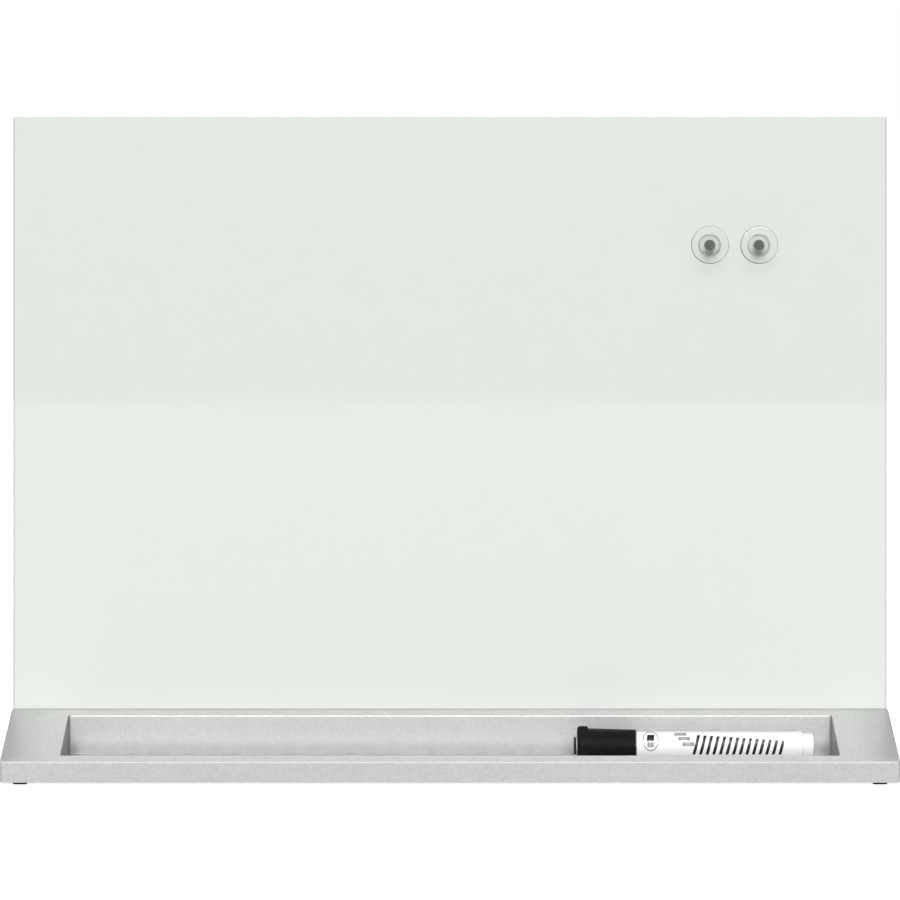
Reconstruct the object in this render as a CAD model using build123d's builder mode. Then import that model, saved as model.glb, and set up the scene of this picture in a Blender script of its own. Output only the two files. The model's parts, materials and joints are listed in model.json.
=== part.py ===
"""Magnetic glass desk easel: a leaning glass panel in a moulded wedge base with a marker tray.

The frame stands on the desk: +X to the right, +Y to the rear, +Z up, with the origin
on the desk under the middle of the base. Lengths are in millimetres, angles in degrees.
"""

import os
from math import cos, radians, sin, tan

from build123d import *

os.makedirs("parts", exist_ok=True)

# ---- Writing panel ----
panel_width = 457.0
panel_rise = 309.5  # glass above the deck, along its own face
panel_lean = 8.0  # back from upright
seat_depth = 15.0  # glass held in the base, along its own face
glass_thickness = 4.0
glass_corner_radius = 1.0
glass_arris = 0.4
tape_thickness = 0.25
tape_width = 16.0
tape_rows = 5
tape_margin = 6.0
steel_thickness = 0.6
steel_margin = 5.0
gasket_thickness = 0.8
gasket_floor = 1.2
gasket_lip = 0.2  # gasket above the deck, along the glass

# ---- Base shell ----
base_overhang = 0.5  # base past the panel at each end
deck_depth = 61.5  # run of the front slope, and of the rear slope
deck_slope = 13.5
crown_depth = 8.0  # level strip between the two slopes
skirt_height = 10.8
shell_wall = 2.4
rib_thickness = 1.8
bay_count = 8
corner_radius = 1.6
deck_edge_radius = 0.6
tray_end_margin = 30.3  # from the base's end to the tray
tray_front_margin = 7.9  # from the base's front to the tray
tray_setback = 7.9  # from the tray's rear wall to the glass face
tray_floor_thickness = 1.4
tray_corner_radius = 1.5
tray_mouth_radius = 0.8
tray_cove_radius = 0.4

# ---- Base plate, its screws and the feet ----
plate_thickness = 1.6
plate_recess = 0.2
plate_gap = 0.3
plate_corner_radius = 1.5
boss_radius = 3.4
boss_inset = 14.0  # from the skirt's outer face
rear_boss_bays = (0, 3, 4, 7)  # counted from the left
screw_shank_radius = 1.45
screw_head_radius = 2.75
screw_head_angle = 90.0
screw_length = 7.5
screw_point = 1.5
screw_clearance = 0.1
foot_width = 7.7
foot_corner_radius = 1.5
foot_stand = 1.6  # skirt's height above the desk
foot_chamfer = 0.5
foot_inset_x = 9.9
foot_inset_y = 6.6

# ---- Magnets ----
magnet_drop = 67.6  # from the panel's top edge
magnet_inset = 80.5  # from the panel's right edge to the middle of the pair
magnet_pitch = 25.6
magnet_gap = 0.2
knob_height = 12.2
knob_stem_radius = 5.3
knob_flange_radius = 9.8
knob_flange_thickness = 3.2
knob_cove_radius = 0.5
knob_edge_radius = 0.8
core_radius = 2.85
core_height = 8.0
core_clearance = 0.05

# ---- Marker, along X with its cap to the left ----
marker_end_gap = 11.4  # from the marker's tail to the tray's right end
marker_floor_gap = 0.25
cap_length = 31.7
cap_wide_radius = 9.1
cap_mouth_radius = 8.3
cap_button_radius = 4.5
cap_button_thickness = 1.0
cap_groove_radius = 4.0
cap_groove_width = 0.6
cap_end_wall = 3.0
cap_end_radius = 1.8
cap_flange_end = 7.1  # from the marker's left end
cap_lobe_count = 3
cap_lobe_reach = 10.3
cap_lobe_radius = 3.0
cap_wall = 1.0
cap_seal_depth = 15.0  # from the mouth to the step that the liner seats on
liner_wall = 1.2
liner_clearance = 0.05
cap_clearance = 0.3
barrel_radius = 8.4
barrel_length = 85.6
barrel_wall = 1.3
barrel_chamfer = 0.4
nose_length = 15.0
nose_taper = 0.4
shoulder_thickness = 3.0
inner_clearance = 0.05
plug_radius = 7.4
plug_length = 5.8
plug_edge_radius = 0.9
plug_spigot_length = 8.0
collar_radius = 4.8
collar_reach = 4.0  # collar in front of the nose
collar_tip_radius = 3.4
nib_radius = 2.3
nib_reach = 4.5  # nib in front of the collar
nib_tail = 9.0  # nib inside the reservoir
reservoir_clearance = 0.25

# ---- Places worked out from the sizes ----
lean_cos, lean_sin = cos(radians(panel_lean)), sin(radians(panel_lean))
slope_tan = tan(radians(deck_slope))
deck_skin = shell_wall / cos(radians(deck_slope))  # upright thickness of the sloping deck

base_width = panel_width + 2 * base_overhang
base_depth = 2 * deck_depth + crown_depth
front_y, rear_y = -base_depth / 2, base_depth / 2
glass_y = front_y + deck_depth
crown_rear_y = rear_y - deck_depth
skirt_z = foot_stand
skirt_top_z = skirt_z + skirt_height
ridge_z = skirt_top_z + deck_depth * slope_tan
inner_width = base_width - 2 * shell_wall
inner_depth = base_depth - 2 * shell_wall

stack_thickness = glass_thickness + tape_thickness + steel_thickness
groove_rear = stack_thickness + gasket_thickness
groove_depth = seat_depth + gasket_floor
trough_front = gasket_thickness + shell_wall
trough_rear = groove_rear + shell_wall
trough_depth = groove_depth + shell_wall

plate_bottom_z = skirt_z + plate_recess
plate_top_z = plate_bottom_z + plate_thickness
tray_floor_z = plate_top_z + tray_floor_thickness
tray_length = base_width - 2 * tray_end_margin
tray_depth = deck_depth - tray_setback - tray_front_margin
tray_front_y = front_y + tray_front_margin
tray_centre_y = tray_front_y + tray_depth / 2

# The panel's face, with its origin where the glass leaves the deck.
panel_normal = Vector(0, -lean_cos, lean_sin)
panel_face = Plane(origin=(0, glass_y, ridge_z), x_dir=(1, 0, 0), z_dir=panel_normal)
# The panel's edge: local x runs back through the panel and local y runs up it.
panel_edge = Plane(origin=(0, glass_y, ridge_z), x_dir=-panel_normal, z_dir=(1, 0, 0))


def deck_z(y):
    """Height of the deck's upper face over a place between the base's front and rear."""
    run = max(glass_y - y, y - crown_rear_y, 0)
    return ridge_z - run * slope_tan


def panel_point(back, up):
    """Section point (y, z) that lies back through the panel and up along it."""
    return (glass_y + back * lean_cos + up * lean_sin, ridge_z - back * lean_sin + up * lean_cos)


def finish(builder, name):
    """Name a finished piece and write it."""
    builder.part.label = name
    export_step(builder.part, f"parts/{name}.step")


# ---- Base shell ----
front_inner_y = front_y + shell_wall
rear_inner_y = rear_y - shell_wall
tray_wall_y = tray_front_y - shell_wall
trough_toe = panel_point(-trough_front, -trough_depth)
trough_heel = panel_point(trough_rear, -trough_depth)
# How far up the trough's outer faces meet the underside of the deck.
trough_rear_up = -(deck_skin - trough_rear * lean_sin) / lean_cos
trough_front_up = -(deck_skin + trough_front * (lean_cos * slope_tan + lean_sin)) / (
    lean_cos - lean_sin * slope_tan
)
wedge_outline = [
    (front_y, skirt_z),
    (front_y, skirt_top_z),
    (glass_y, ridge_z),
    (crown_rear_y, ridge_z),
    (rear_y, skirt_top_z),
    (rear_y, skirt_z),
]
rear_hollow = [
    (rear_inner_y, skirt_z),
    (rear_inner_y, deck_z(rear_inner_y) - deck_skin),
    (crown_rear_y, ridge_z - deck_skin),
    panel_point(trough_rear, trough_rear_up),
    trough_heel,
    trough_toe,
    (trough_toe[0], skirt_z),
]
end_hollow = [
    (front_inner_y, skirt_z),
    (front_inner_y, deck_z(front_inner_y) - deck_skin),
    panel_point(-trough_front, trough_front_up),
    trough_toe,
    (trough_toe[0], skirt_z),
]
front_hollow = [
    (front_inner_y, skirt_z),
    (front_inner_y, deck_z(front_inner_y) - deck_skin),
    (tray_wall_y, deck_z(tray_wall_y) - deck_skin),
    (tray_wall_y, skirt_z),
]

bay_pitch = (inner_width + rib_thickness) / bay_count
bay_width = bay_pitch - rib_thickness
bay_places = [(index - (bay_count - 1) / 2) * bay_pitch for index in range(bay_count)]
end_hollow_inner = tray_length / 2 + shell_wall
end_hollow_width = inner_width / 2 - end_hollow_inner
end_hollow_x = end_hollow_inner + end_hollow_width / 2

screw_places = [(side * end_hollow_x, front_y + boss_inset) for side in (-1, 1)]
screw_places += [(bay_places[bay], rear_y - boss_inset) for bay in rear_boss_bays]
foot_x = base_width / 2 - foot_inset_x
foot_y = base_depth / 2 - foot_inset_y
foot_places = {
    "foot_front_left": (-foot_x, -foot_y),
    "foot_front_right": (foot_x, -foot_y),
    "foot_rear_left": (-foot_x, foot_y),
    "foot_rear_right": (foot_x, foot_y),
}

with BuildPart() as base_shell:
    with BuildSketch(Plane.YZ):
        Polygon(*wedge_outline, align=None)
    extrude(amount=base_width / 2, both=True)
    fillet(base_shell.edges().filter_by(Axis.Z), corner_radius)
    deck_faces = base_shell.faces().filter_by(lambda face: face.normal_at().Z > 0)
    fillet(deck_faces.edges(), deck_edge_radius)

    # The marker tray, sunk level through the front slope.
    with BuildSketch(Plane.XY.offset(tray_floor_z)):
        with Locations((0, tray_centre_y)):
            RectangleRounded(tray_length, tray_depth, tray_corner_radius)
    extrude(amount=ridge_z, mode=Mode.SUBTRACT)
    fillet(base_shell.faces(Select.LAST).sort_by(Axis.Z)[0].edges(), tray_cove_radius)
    mouths = base_shell.faces().filter_by(lambda face: face.inner_wires())
    fillet(mouths[0].inner_wires().edges(), tray_mouth_radius)

    # The groove that holds the panel's lower edge, open at both ends.
    with BuildSketch(panel_edge):
        with Locations((-gasket_thickness, -groove_depth)):
            Rectangle(
                gasket_thickness + groove_rear, ridge_z, align=(Align.MIN, Align.MIN)
            )
    extrude(amount=base_width, both=True, mode=Mode.SUBTRACT)

    # The hollow underside: a rebate for the plate, and pockets between the walls and ribs.
    with BuildSketch(Plane.XY.offset(skirt_z)):
        Rectangle(inner_width, inner_depth)
    extrude(amount=plate_top_z - skirt_z, mode=Mode.SUBTRACT)
    for bay_x in bay_places:
        with BuildSketch(Plane.YZ.offset(bay_x)):
            Polygon(*rear_hollow, align=None)
        extrude(amount=bay_width / 2, both=True, mode=Mode.SUBTRACT)
    for side in (-1, 1):
        with BuildSketch(Plane.YZ.offset(side * end_hollow_x)):
            Polygon(*end_hollow, align=None)
        extrude(amount=end_hollow_width / 2, both=True, mode=Mode.SUBTRACT)
    with BuildSketch(Plane.YZ):
        Polygon(*front_hollow, align=None)
    extrude(amount=end_hollow_inner, both=True, mode=Mode.SUBTRACT)

    # Screw bosses that reach from the plate up into the deck.
    for boss_x, boss_y in screw_places:
        with BuildSketch(Plane.XY.offset(plate_top_z)):
            with Locations((boss_x, boss_y)):
                Circle(boss_radius)
        extrude(amount=deck_z(boss_y) - deck_skin / 2 - plate_top_z)
        with BuildSketch(Plane.XY.offset(plate_top_z)):
            with Locations((boss_x, boss_y)):
                Circle(screw_shank_radius + screw_clearance)
        extrude(amount=screw_length, mode=Mode.SUBTRACT)
finish(base_shell, "base_shell")

# ---- Base plate, screws and feet ----
plate_underside = Plane(origin=(0, 0, plate_bottom_z), x_dir=(1, 0, 0), z_dir=(0, 0, -1))
with BuildPart() as base_plate:
    with BuildSketch(Plane.XY.offset(plate_bottom_z)):
        RectangleRounded(
            inner_width - 2 * plate_gap, inner_depth - 2 * plate_gap, plate_corner_radius
        )
    extrude(amount=plate_thickness)
    with Locations(plate_underside):
        with Locations(*[(screw_x, -screw_y) for screw_x, screw_y in screw_places]):
            CounterSinkHole(
                screw_shank_radius + screw_clearance,
                screw_head_radius + screw_clearance,
                counter_sink_angle=screw_head_angle,
            )
finish(base_plate, "base_plate")

screw_head_height = (screw_head_radius - screw_shank_radius) / tan(radians(screw_head_angle / 2))
with BuildPart(mode=Mode.PRIVATE) as screw:
    with BuildSketch(Plane.XZ):
        with BuildLine():
            Polyline(
                (0, 0),
                (screw_head_radius, 0),
                (screw_shank_radius, screw_head_height),
                (screw_shank_radius, screw_length - screw_point),
                (0, screw_length),
                close=True,
            )
        make_face()
    revolve(axis=Axis.Z)

with BuildPart() as plate_screws:
    with Locations(*[(screw_x, screw_y, plate_bottom_z) for screw_x, screw_y in screw_places]):
        add(screw.part)
finish(plate_screws, "plate_screws")

for foot_name, foot_place in foot_places.items():
    with BuildPart() as foot:
        with BuildSketch(Plane.XY):
            with Locations(foot_place):
                RectangleRounded(foot_width, foot_width, foot_corner_radius)
        extrude(amount=plate_bottom_z)
        chamfer(foot.faces().sort_by(Axis.Z)[0].edges(), foot_chamfer)
    finish(foot, foot_name)

# ---- Writing panel ----
glass_height = panel_rise + seat_depth
glass_middle = (panel_rise - seat_depth) / 2
steel_width = panel_width - 2 * steel_margin
steel_height = glass_height - 2 * steel_margin
tape_pitch = (steel_height - 2 * tape_margin - tape_width) / (tape_rows - 1)

with BuildPart() as glass_sheet:
    with BuildSketch(panel_face):
        with Locations((0, glass_middle)):
            RectangleRounded(panel_width, glass_height, glass_corner_radius)
    extrude(amount=-glass_thickness)
    broad_faces = glass_sheet.faces().sort_by(SortBy.AREA)[-2:]
    chamfer(broad_faces.edges(), glass_arris)
finish(glass_sheet, "glass_sheet")

with BuildPart() as bonding_tape:
    with BuildSketch(panel_face.offset(-glass_thickness)):
        with Locations((0, glass_middle)):
            with GridLocations(0, tape_pitch, 1, tape_rows):
                Rectangle(steel_width - 2 * tape_margin, tape_width)
    extrude(amount=-tape_thickness)
finish(bonding_tape, "bonding_tape")

with BuildPart() as steel_sheet:
    with BuildSketch(panel_face.offset(-glass_thickness - tape_thickness)):
        with Locations((0, glass_middle)):
            Rectangle(steel_width, steel_height)
    extrude(amount=-steel_thickness)
finish(steel_sheet, "steel_sheet")

with BuildPart() as panel_gasket:
    with BuildSketch(panel_edge):
        with Locations((-gasket_thickness, -groove_depth)):
            Rectangle(
                gasket_thickness + groove_rear,
                groove_depth + gasket_lip,
                align=(Align.MIN, Align.MIN),
            )
        with Locations((0, -seat_depth)):
            Rectangle(
                stack_thickness,
                seat_depth + gasket_lip,
                align=(Align.MIN, Align.MIN),
                mode=Mode.SUBTRACT,
            )
    extrude(amount=panel_width / 2, both=True)
finish(panel_gasket, "panel_gasket")

# ---- Magnets ----
magnet_rise = panel_rise - magnet_drop
magnet_centre_x = panel_width / 2 - magnet_inset
for side, magnet_name in ((-1, "magnet_left"), (1, "magnet_right")):
    magnet_x = magnet_centre_x + side * magnet_pitch / 2
    magnet_foot = panel_face.from_local_coords(Vector(magnet_x, magnet_rise, magnet_gap))
    magnet_axis = Axis(magnet_foot, panel_normal)
    # Half section: local x is the radius and local y is the height off the glass.
    magnet_section = Plane(
        origin=magnet_foot, x_dir=(1, 0, 0), z_dir=Vector(1, 0, 0).cross(panel_normal)
    )
    with BuildPart() as knob:
        with BuildSketch(magnet_section):
            with BuildLine():
                Polyline(
                    (core_radius + core_clearance, 0),
                    (knob_stem_radius, 0),
                    (knob_stem_radius, knob_height - knob_flange_thickness),
                    (knob_flange_radius, knob_height - knob_flange_thickness),
                    (knob_flange_radius, knob_height),
                    (0, knob_height),
                    (0, core_height + core_clearance),
                    (core_radius + core_clearance, core_height + core_clearance),
                    close=True,
                )
            make_face()
        revolve(axis=magnet_axis)
        rims = knob.edges().filter_by(GeomType.CIRCLE).group_by(SortBy.RADIUS)
        fillet(rims[-2].sort_by(magnet_axis)[-1], knob_cove_radius)
        rims = knob.edges().filter_by(GeomType.CIRCLE).group_by(SortBy.RADIUS)
        fillet(rims[-1], knob_edge_radius)
    finish(knob, f"{magnet_name}_knob")

    with BuildPart() as core:
        with BuildSketch(Plane(origin=magnet_foot, x_dir=(1, 0, 0), z_dir=panel_normal)):
            Circle(core_radius)
        extrude(amount=core_height)
    finish(core, f"{magnet_name}_core")

# ---- Marker ----
marker_length = cap_length + cap_clearance + barrel_length + plug_length
marker_left = tray_length / 2 - marker_end_gap - marker_length
marker_y = tray_centre_y
marker_z = tray_floor_z + marker_floor_gap + cap_wide_radius
marker_axis = Axis((0, marker_y, marker_z), (1, 0, 0))
# Half section: local x is the place along the marker and local y is the radius.
marker_section = Plane(origin=(0, marker_y, marker_z), x_dir=(1, 0, 0), z_dir=(0, -1, 0))

cap_body_x = marker_left + cap_button_thickness + cap_groove_width
cap_mouth_x = marker_left + cap_length
cap_floor_x = cap_body_x + cap_end_wall
cap_step_x = cap_mouth_x - cap_seal_depth
cap_bore = cap_mouth_radius - cap_wall
nose_radius = cap_bore - cap_clearance
shoulder_x = cap_mouth_x + cap_clearance
nose_x = shoulder_x - nose_length
barrel_tail_x = shoulder_x + barrel_length
barrel_bore = barrel_radius - barrel_wall
collar_bore = collar_radius + inner_clearance
collar_x = nose_x - collar_reach
nib_x = collar_x - nib_reach
reservoir_x = shoulder_x + shoulder_thickness
spigot_x = barrel_tail_x - plug_spigot_length
liner_bore = collar_radius + cap_clearance
liner_radius = liner_bore + liner_wall

with BuildPart() as marker_barrel:
    with BuildSketch(marker_section):
        with BuildLine():
            Polyline(
                (nose_x, collar_bore),
                (nose_x, nose_radius - nose_taper),
                (shoulder_x, nose_radius),
                (shoulder_x, barrel_radius),
                (barrel_tail_x, barrel_radius),
                (barrel_tail_x, barrel_bore),
                (reservoir_x, barrel_bore),
                (reservoir_x, collar_bore),
                close=True,
            )
        make_face()
    revolve(axis=marker_axis)
    tail_rims = marker_barrel.edges().filter_by(GeomType.CIRCLE).group_by(Axis.X)[-1]
    chamfer(tail_rims.sort_by(SortBy.RADIUS)[-1], barrel_chamfer)
finish(marker_barrel, "marker_barrel")

with BuildPart() as marker_end_plug:
    with BuildSketch(marker_section):
        with BuildLine():
            Polyline(
                (spigot_x, 0),
                (spigot_x, barrel_bore - inner_clearance),
                (barrel_tail_x, barrel_bore - inner_clearance),
                (barrel_tail_x, plug_radius),
                (barrel_tail_x + plug_length, plug_radius),
                (barrel_tail_x + plug_length, 0),
                close=True,
            )
        make_face()
    revolve(axis=marker_axis)
    plug_rim = marker_end_plug.edges().filter_by(GeomType.CIRCLE).sort_by(Axis.X)[-1]
    fillet(plug_rim, plug_edge_radius)
finish(marker_end_plug, "marker_end_plug")

with BuildPart() as marker_reservoir:
    with BuildSketch(Plane(origin=(reservoir_x, marker_y, marker_z), z_dir=(1, 0, 0))):
        Circle(barrel_bore - reservoir_clearance)
    extrude(amount=spigot_x - reservoir_clearance - reservoir_x)
    with BuildSketch(Plane(origin=(reservoir_x, marker_y, marker_z), z_dir=(1, 0, 0))):
        Circle(nib_radius + inner_clearance)
    extrude(amount=nib_tail + inner_clearance, mode=Mode.SUBTRACT)
finish(marker_reservoir, "marker_reservoir")

with BuildPart() as marker_nib_collar:
    with BuildSketch(marker_section):
        with BuildLine():
            Polyline(
                (collar_x, nib_radius + inner_clearance),
                (collar_x, collar_tip_radius),
                (nose_x, collar_radius),
                (reservoir_x, collar_radius),
                (reservoir_x, nib_radius + inner_clearance),
                close=True,
            )
        make_face()
    revolve(axis=marker_axis)
finish(marker_nib_collar, "marker_nib_collar")

with BuildPart() as marker_nib:
    with BuildSketch(marker_section):
        with BuildLine():
            tail = Polyline(
                (nib_x, 0),
                (reservoir_x + nib_tail, 0),
                (reservoir_x + nib_tail, nib_radius),
                (nib_x + nib_radius, nib_radius),
            )
            RadiusArc(tail @ 1, tail @ 0, -nib_radius)
        make_face()
    revolve(axis=marker_axis)
finish(marker_nib, "marker_nib")

with BuildPart() as marker_cap:
    # The lobed flange that stops the marker rolling.
    with BuildSketch(Plane(origin=(cap_body_x, marker_y, marker_z), x_dir=(0, 1, 0), z_dir=(1, 0, 0))):
        Circle(cap_wide_radius)
        with PolarLocations(cap_lobe_reach - cap_lobe_radius, cap_lobe_count, start_angle=90):
            Circle(cap_lobe_radius)
        make_hull()
    extrude(amount=marker_left + cap_flange_end - cap_body_x)
    fillet(marker_cap.faces().sort_by(Axis.X)[0].edges(), cap_end_radius)
    with BuildSketch(marker_section):
        with BuildLine():
            Polyline(
                (marker_left, 0),
                (marker_left, cap_button_radius),
                (marker_left + cap_button_thickness, cap_button_radius),
                (marker_left + cap_button_thickness, cap_groove_radius),
                (cap_body_x, cap_groove_radius),
                (cap_body_x + cap_end_radius, cap_wide_radius),
                (cap_mouth_x, cap_mouth_radius),
                (cap_mouth_x, 0),
                close=True,
            )
        make_face()
    revolve(axis=marker_axis)
    with BuildSketch(marker_section):
        with BuildLine():
            Polyline(
                (cap_floor_x, 0),
                (cap_floor_x, liner_radius + liner_clearance),
                (cap_step_x, liner_radius + liner_clearance),
                (cap_step_x, cap_bore),
                (cap_mouth_x, cap_bore),
                (cap_mouth_x, 0),
                close=True,
            )
        make_face()
    revolve(axis=marker_axis, mode=Mode.SUBTRACT)
finish(marker_cap, "marker_cap")

with BuildPart() as marker_cap_liner:
    with BuildSketch(marker_section):
        with BuildLine():
            Polyline(
                (cap_floor_x, 0),
                (cap_floor_x, liner_radius),
                (nose_x - cap_clearance, liner_radius),
                (nose_x - cap_clearance, liner_bore),
                (cap_floor_x + liner_wall, liner_bore),
                (cap_floor_x + liner_wall, 0),
                close=True,
            )
        make_face()
    revolve(axis=marker_axis)
finish(marker_cap_liner, "marker_cap_liner")
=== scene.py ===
"""Dresses the packed desk easel: a leaning glass panel in a silver base, two magnets and a marker.

Lengths are in metres in the row frame: +X right, +Y to the rear, +Z up, desk at z = 0.
"""

import json

import bpy
import numpy as np
from bpy.props import FloatProperty, FloatVectorProperty, IntProperty, PointerProperty
from mathutils import Matrix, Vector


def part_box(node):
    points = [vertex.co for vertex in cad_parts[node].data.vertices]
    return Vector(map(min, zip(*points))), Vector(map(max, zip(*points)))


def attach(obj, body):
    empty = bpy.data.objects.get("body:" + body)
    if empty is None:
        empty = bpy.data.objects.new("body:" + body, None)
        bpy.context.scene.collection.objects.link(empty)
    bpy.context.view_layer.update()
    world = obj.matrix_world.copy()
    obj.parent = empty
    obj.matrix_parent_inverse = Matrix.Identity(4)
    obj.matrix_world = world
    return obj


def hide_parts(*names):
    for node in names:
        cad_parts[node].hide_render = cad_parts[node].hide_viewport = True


bl_info = {
    "name": "Glass Desk Easel",
    "version": (1, 0, 0),
    "blender": (4, 5, 0),
    "location": "View3D > Sidebar > Easel",
    "description": "Finishes, magnets, marker and studio for a glass desk easel",
    "category": "Add Mesh",
}

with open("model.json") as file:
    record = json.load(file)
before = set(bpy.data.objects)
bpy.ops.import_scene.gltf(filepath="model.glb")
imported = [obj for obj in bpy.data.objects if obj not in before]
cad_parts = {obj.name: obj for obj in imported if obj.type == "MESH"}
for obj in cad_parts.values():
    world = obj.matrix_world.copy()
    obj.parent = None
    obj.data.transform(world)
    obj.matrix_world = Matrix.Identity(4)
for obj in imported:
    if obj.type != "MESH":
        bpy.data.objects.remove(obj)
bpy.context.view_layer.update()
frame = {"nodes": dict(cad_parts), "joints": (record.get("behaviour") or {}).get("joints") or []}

MM = 0.001
ARC_STEPS = 8
RIGHT = np.array((1.0, 0.0, 0.0))
UP = np.array((0.0, 0.0, 1.0))
DUST = (0.7, 0.69, 0.66, 1.0)
WHITE = (1.0, 1.0, 1.0, 1.0)
WELD = 1e-4 * MM
LAMP_AIM = np.array((0.0, 0.0, 0.12))


# ---- Measures of the packed nodes ----


def vertices_of(node):
    """A packed node's vertices, one row each."""
    mesh = frame["nodes"][node].data
    flat = np.empty(3 * len(mesh.vertices), np.float32)
    mesh.vertices.foreach_get("co", flat)
    return flat.reshape(-1, 3).astype(float)


def span(node, direction):
    """Lowest and highest reach of a packed node along a direction."""
    reach = vertices_of(node) @ direction
    return reach.min(), reach.max()


def middle(node):
    """Middle of a packed node's box."""
    low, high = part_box(node)
    return np.array((low + high) / 2)


def half_size(node, direction):
    """Half a packed node's size along a direction, which is its radius across its axis."""
    low, high = span(node, direction)
    return (high - low) / 2


def joint_axis(name):
    """Axis of a joint of the packed model."""
    return np.array(next(joint["axis"] for joint in frame["joints"] if joint["name"] == name), float)


PANEL_NORMAL = joint_axis("magnet_left_pull")
PANEL_UP = np.cross(PANEL_NORMAL, RIGHT)


# ---- Surfaces ----


def rounded(corners, steps=ARC_STEPS):
    """Section through corners given as (along, radius, rounding).

    Each inner corner becomes an arc tangent to its two sides. The arc's normals turn evenly
    from the first side's normal to the second's, and each of its points is the arc's start
    plus the rounding times the change of the normal, taken the other way in a hollow corner.
    Returns the points and their outward normals, with both ends left sharp.
    """
    corners = np.asarray(corners, float)
    points, rounding = corners[:, :2], corners[1:-1, 2:]
    sides = np.diff(points, axis=0)
    sides /= np.linalg.norm(sides, axis=1, keepdims=True)
    normals = np.stack([-sides[:, 1], sides[:, 0]], axis=1)
    before, after = normals[:-1], normals[1:]
    turn = np.arccos(np.clip((before * after).sum(1), -1, 1))[:, None]
    bulge = np.sign(before[:, :1] * after[:, 1:] - before[:, 1:] * after[:, :1]) * -1
    start = points[1:-1] - sides[:-1] * rounding * np.tan(turn / 2)
    share = np.linspace(0, 1, steps)[None, :, None]
    turn = turn[:, :, None]
    arc_normals = (
        np.sin((1 - share) * turn) * before[:, None] + np.sin(share * turn) * after[:, None]
    ) / np.sin(turn)
    arcs = start[:, None] + (bulge * rounding)[:, None] * (arc_normals - before[:, None])
    path = np.concatenate([points[:1], arcs.reshape(-1, 2), points[-1:]])
    path_normals = np.concatenate([normals[:1], arc_normals.reshape(-1, 2), normals[-1:]])
    return path, path_normals


def mesh_of(name, grid, normals):
    """Mesh over one or more grids of points, with its own smooth normals.

    Rows run along a section and columns round it, and each square of four neighbours is a face.
    Points that fall together, at a pole or where a grid meets itself, are kept once.
    """
    rows, columns = grid.shape[-3:-1]
    index = np.arange(grid.size // 3).reshape(-1, rows, columns)
    faces = np.stack(
        [index[:, :-1, :-1], index[:, :-1, 1:], index[:, 1:, 1:], index[:, 1:, :-1]], axis=-1
    )
    cells = np.round(grid.reshape(-1, 3) / WELD).astype(np.int64)
    _, first, where = np.unique(cells, axis=0, return_index=True, return_inverse=True)
    faces = where.ravel()[faces.reshape(-1, 4)]
    same = faces == np.roll(faces, -1, axis=1)
    folded = same.sum(axis=1)
    quads = faces[folded == 0]
    fans = faces[folded == 1][~same[folded == 1]].reshape(-1, 3)
    mesh = bpy.data.meshes.new(name)
    mesh.from_pydata(grid.reshape(-1, 3)[first].tolist(), [], quads.tolist() + fans.tolist())
    mesh.polygons.foreach_set("use_smooth", np.ones(len(mesh.polygons), bool))
    mesh.normals_split_custom_set_from_vertices(normals.reshape(-1, 3)[first].tolist())
    mesh.update()
    return mesh


def turned(section, origin, axis, side, segments=128, outline=None):
    """Grid and normals of a section turned about an axis.

    A point is the origin, plus the axis times its place along it, plus its radius times the
    side direction turned by the column's angle. An outline, given the radii of the rows and
    the angles of the columns, returns their true radii and how far their normals lean round.
    """
    points, flat_normals = section
    angle = np.linspace(0, 2 * np.pi, segments + 1)
    across = np.cross(axis, side)
    spoke = np.cos(angle)[:, None] * side + np.sin(angle)[:, None] * across
    hoop = np.cos(angle)[:, None] * across - np.sin(angle)[:, None] * side
    radius = np.repeat(points[:, 1:], segments + 1, axis=1)
    lean = np.zeros_like(radius)
    if outline:
        radius, lean = outline(radius, angle)
    grid = origin + points[:, None, :1] * axis + radius[..., None] * spoke
    facing = np.cos(lean)[..., None] * spoke + np.sin(lean)[..., None] * hoop
    return grid, flat_normals[:, None, :1] * axis + flat_normals[:, None, 1:] * facing


def add_piece(name, mesh, material, body, replaces=()):
    """Puts a mesh into the scene as a piece that rides on a body of the frame."""
    mesh.materials.append(material)
    piece = bpy.data.objects.new(name, mesh)
    bpy.context.scene.collection.objects.link(piece)
    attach(piece, body)
    if replaces:
        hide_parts(*replaces)
    return piece


def dress(material, *nodes):
    """Gives packed nodes their finish."""
    for node in nodes:
        slots = frame["nodes"][node].data.materials
        slots.clear()
        slots.append(material)


# ---- Node helpers ----


def feed(tree, value, socket):
    """Links a socket to the one that feeds it, or sets it to a plain value."""
    if isinstance(value, bpy.types.NodeSocket):
        tree.links.new(value, socket)
    else:
        socket.default_value = value


def add_node(tree, kind, inputs=None, **options):
    """Adds a node, sets its options and feeds the named inputs."""
    node = tree.nodes.new(kind)
    for key, value in options.items():
        setattr(node, key, value)
    for key, value in (inputs or {}).items():
        feed(tree, value, node.inputs[key])
    return node


def find_node(tree, kind):
    """The first node of a kind in a tree."""
    return next(node for node in tree.nodes if node.type == kind)


def calculate(tree, operation, *values):
    """Result of a Math node on values or sockets."""
    return add_node(tree, "ShaderNodeMath", dict(enumerate(values)), operation=operation).outputs[0]


def product(tree, first, *others):
    """Product of values or sockets."""
    for other in others:
        first = calculate(tree, "MULTIPLY", first, other)
    return first


def largest(tree, first, *others):
    """Largest of values or sockets."""
    for other in others:
        first = calculate(tree, "MAXIMUM", first, other)
    return first


def weighted(tree, *shares):
    """Sum of masks, each given with its weight."""
    total = 0.0
    for mask, weight in shares:
        total = calculate(tree, "MULTIPLY_ADD", mask, weight, total)
    return total


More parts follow.
